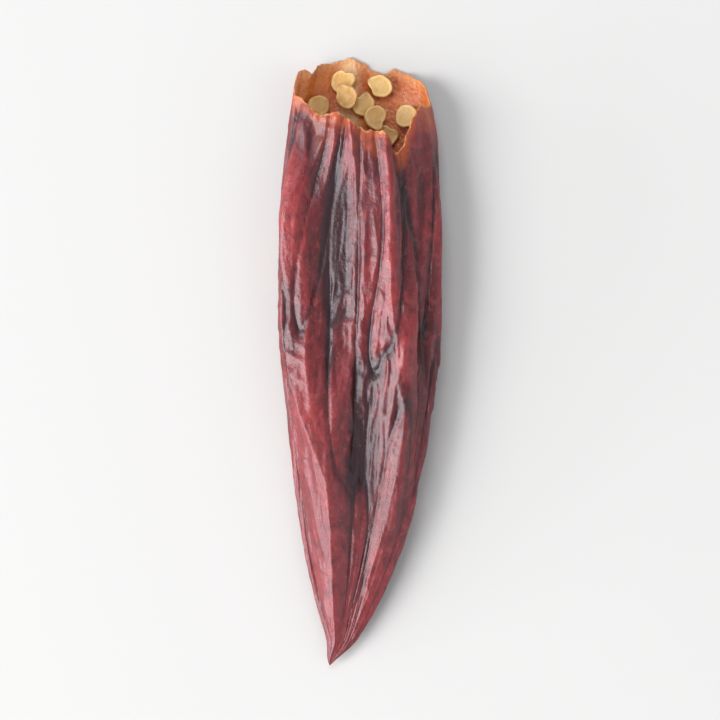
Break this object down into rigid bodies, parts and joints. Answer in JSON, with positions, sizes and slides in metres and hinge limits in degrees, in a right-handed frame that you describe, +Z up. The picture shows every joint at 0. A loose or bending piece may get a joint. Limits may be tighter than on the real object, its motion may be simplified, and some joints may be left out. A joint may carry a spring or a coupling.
{
  "type": "dried chilli pepper",
  "caption": "Flattened dried chilli pod with long creases, its stalk snapped off, lying down with loose seeds in its torn open end.",
  "frame": {"origin": "on the surface that the pod lies on, below the middle of its bounding box", "axes": "+Y along the pod towards its torn mouth, -Y towards its tip, +Z up from the surface it lies on"},
  "size_m": [0.024, 0.091, 0.0099],
  "materials": {
    "skin": "satin, leathery, creased",
    "seed": "matte, finely pitted"
  },
  "bodies": {
    "root": {"pod": "skin", "seed_01": "seed", "seed_02": "seed", "seed_03": "seed", "seed_04": "seed", "seed_05": "seed", "seed_06": "seed", "seed_07": "seed", "seed_08": "seed", "seed_09": "seed", "seed_10": "seed", "seed_11": "seed", "seed_12": "seed", "seed_13": "seed", "seed_14": "seed", "seed_15": "seed", "seed_16": "seed", "seed_17": "seed", "seed_18": "seed", "seed_19": "seed", "seed_20": "seed"}
  },
  "joints": []
}
